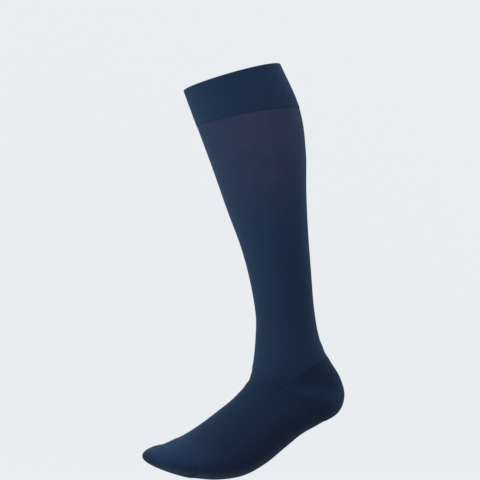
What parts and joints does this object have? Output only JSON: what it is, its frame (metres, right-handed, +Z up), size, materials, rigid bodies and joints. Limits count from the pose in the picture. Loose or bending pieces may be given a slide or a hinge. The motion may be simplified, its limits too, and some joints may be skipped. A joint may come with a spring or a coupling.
{
  "type": "compression stocking",
  "caption": "Knee-high compression stocking in its hollow worn shape, open at the turned top band, with a knitted heel pocket and a closed toe.",
  "frame": {"origin": "middle of the top band, on the line up the leg, where the calf holds the stocking", "axes": "+Z up, -X towards the toes, +X towards the heel, -Y towards the outer side of the left leg"},
  "size_m": [0.2423, 0.12, 0.4937],
  "materials": {
    "welt_knit": "matt elastic knit, turned double",
    "body_knit": "fine semi-sheer elastic knit with a soft sheen",
    "pocket_knit": "dense reinforced knit, matt"
  },
  "bodies": {
    "root": {"top_band": "welt_knit", "leg": "body_knit", "heel": "pocket_knit", "foot": "body_knit", "toe": "pocket_knit"}
  },
  "joints": []
}
